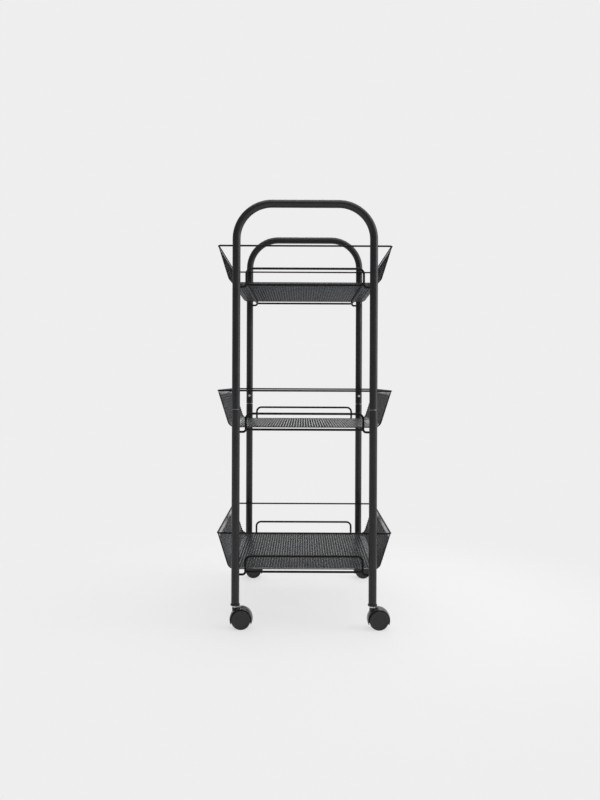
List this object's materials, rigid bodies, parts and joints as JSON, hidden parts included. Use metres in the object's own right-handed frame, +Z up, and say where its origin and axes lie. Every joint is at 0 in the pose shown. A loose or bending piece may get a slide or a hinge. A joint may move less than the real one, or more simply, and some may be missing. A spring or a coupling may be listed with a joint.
{
  "type": "rolling pantry cart",
  "caption": "Tiered rolling pantry cart: inverted-U tube hoops carry slant-sided mesh baskets with wire rims and low end guards, on hooded twin-wheel swivel casters.",
  "frame": {"origin": "on the floor, under the middle of the cart", "axes": "+Z up, Y along the length of the baskets, from one hoop to the other, X across; the casters trail towards +X at rest"},
  "size_m": [0.35, 0.4314, 0.848],
  "materials": {
    "black_powder_coat": "semi-gloss black powder coat on steel tube",
    "black_wire": "semi-gloss black powder coat on steel wire",
    "black_mesh": "semi-gloss black powder coat on expanded steel mesh",
    "black_screw": "black zinc plated steel",
    "zinc": "bright zinc plated steel",
    "bare_steel": "plain steel",
    "black_plastic": "moulded black nylon, fine grain",
    "hood_plastic": "moulded black plastic, satin",
    "wheel_plastic": "moulded black plastic, matt"
  },
  "bodies": {
    "frame": {"front_hoop": "black_powder_coat", "rear_hoop": "black_powder_coat", "front_left_leg": "black_powder_coat", "front_right_leg": "black_powder_coat", "rear_left_leg": "black_powder_coat", "rear_right_leg": "black_powder_coat", "front_left_joiner": "bare_steel", "front_right_joiner": "bare_steel", "rear_left_joiner": "bare_steel", "rear_right_joiner": "bare_steel", "joint_screws": "zinc", "front_left_socket": "black_plastic", "front_right_socket": "black_plastic", "rear_left_socket": "black_plastic", "rear_right_socket": "black_plastic", "top_mesh_tray": "black_mesh", "top_rim_wire": "black_wire", "top_under_ring": "black_wire", "top_front_guard": "black_wire", "top_rear_guard": "black_wire", "top_front_end_wire": "black_wire", "top_rear_end_wire": "black_wire", "top_basket_screws": "black_screw", "middle_mesh_tray": "black_mesh", "middle_rim_wire": "black_wire", "middle_under_ring": "black_wire", "middle_front_guard": "black_wire", "middle_rear_guard": "black_wire", "middle_front_end_wire": "black_wire", "middle_rear_end_wire": "black_wire", "middle_basket_screws": "black_screw", "bottom_mesh_tray": "black_mesh", "bottom_rim_wire": "black_wire", "bottom_under_ring": "black_wire", "bottom_front_guard": "black_wire", "bottom_rear_guard": "black_wire", "bottom_front_end_wire": "black_wire", "bottom_rear_end_wire": "black_wire", "bottom_basket_screws": "black_screw", "front_left_stem": "zinc", "front_right_stem": "zinc", "rear_left_stem": "zinc", "rear_right_stem": "zinc"},
    "front_left_caster": {"front_left_hood": "hood_plastic", "front_left_axle": "bare_steel"},
    "front_left_outer_wheel": {"front_left_outer_wheel": "wheel_plastic"},
    "front_left_inner_wheel": {"front_left_inner_wheel": "wheel_plastic"},
    "front_right_caster": {"front_right_hood": "hood_plastic", "front_right_axle": "bare_steel"},
    "front_right_outer_wheel": {"front_right_outer_wheel": "wheel_plastic"},
    "front_right_inner_wheel": {"front_right_inner_wheel": "wheel_plastic"},
    "rear_left_caster": {"rear_left_hood": "hood_plastic", "rear_left_axle": "bare_steel"},
    "rear_left_outer_wheel": {"rear_left_outer_wheel": "wheel_plastic"},
    "rear_left_inner_wheel": {"rear_left_inner_wheel": "wheel_plastic"},
    "rear_right_caster": {"rear_right_hood": "hood_plastic", "rear_right_axle": "bare_steel"},
    "rear_right_outer_wheel": {"rear_right_outer_wheel": "wheel_plastic"},
    "rear_right_inner_wheel": {"rear_right_inner_wheel": "wheel_plastic"}
  },
  "joints": [
    {"name": "front_left_swivel", "type": "hinge", "parent": "frame", "child": "front_left_caster", "pos_m": [-0.136, -0.2, 0.04], "axis": [0, 0, 1], "continuous": true},
    {"name": "front_left_outer_spin", "type": "hinge", "parent": "front_left_caster", "child": "front_left_outer_wheel", "pos_m": [-0.124, -0.2, 0.019], "axis": [0, 1, 0], "continuous": true},
    {"name": "front_left_inner_spin", "type": "hinge", "parent": "front_left_caster", "child": "front_left_inner_wheel", "pos_m": [-0.124, -0.2, 0.019], "axis": [0, 1, 0], "continuous": true},
    {"name": "front_right_swivel", "type": "hinge", "parent": "frame", "child": "front_right_caster", "pos_m": [0.136, -0.2, 0.04], "axis": [0, 0, 1], "continuous": true},
    {"name": "front_right_outer_spin", "type": "hinge", "parent": "front_right_caster", "child": "front_right_outer_wheel", "pos_m": [0.148, -0.2, 0.019], "axis": [0, 1, 0], "continuous": true},
    {"name": "front_right_inner_spin", "type": "hinge", "parent": "front_right_caster", "child": "front_right_inner_wheel", "pos_m": [0.148, -0.2, 0.019], "axis": [0, 1, 0], "continuous": true},
    {"name": "rear_left_swivel", "type": "hinge", "parent": "frame", "child": "rear_left_caster", "pos_m": [-0.136, 0.2, 0.04], "axis": [0, 0, 1], "continuous": true},
    {"name": "rear_left_outer_spin", "type": "hinge", "parent": "rear_left_caster", "child": "rear_left_outer_wheel", "pos_m": [-0.124, 0.2, 0.019], "axis": [0, 1, 0], "continuous": true},
    {"name": "rear_left_inner_spin", "type": "hinge", "parent": "rear_left_caster", "child": "rear_left_inner_wheel", "pos_m": [-0.124, 0.2, 0.019], "axis": [0, 1, 0], "continuous": true},
    {"name": "rear_right_swivel", "type": "hinge", "parent": "frame", "child": "rear_right_caster", "pos_m": [0.136, 0.2, 0.04], "axis": [0, 0, 1], "continuous": true},
    {"name": "rear_right_outer_spin", "type": "hinge", "parent": "rear_right_caster", "child": "rear_right_outer_wheel", "pos_m": [0.148, 0.2, 0.019], "axis": [0, 1, 0], "continuous": true},
    {"name": "rear_right_inner_spin", "type": "hinge", "parent": "rear_right_caster", "child": "rear_right_inner_wheel", "pos_m": [0.148, 0.2, 0.019], "axis": [0, 1, 0], "continuous": true}
  ]
}
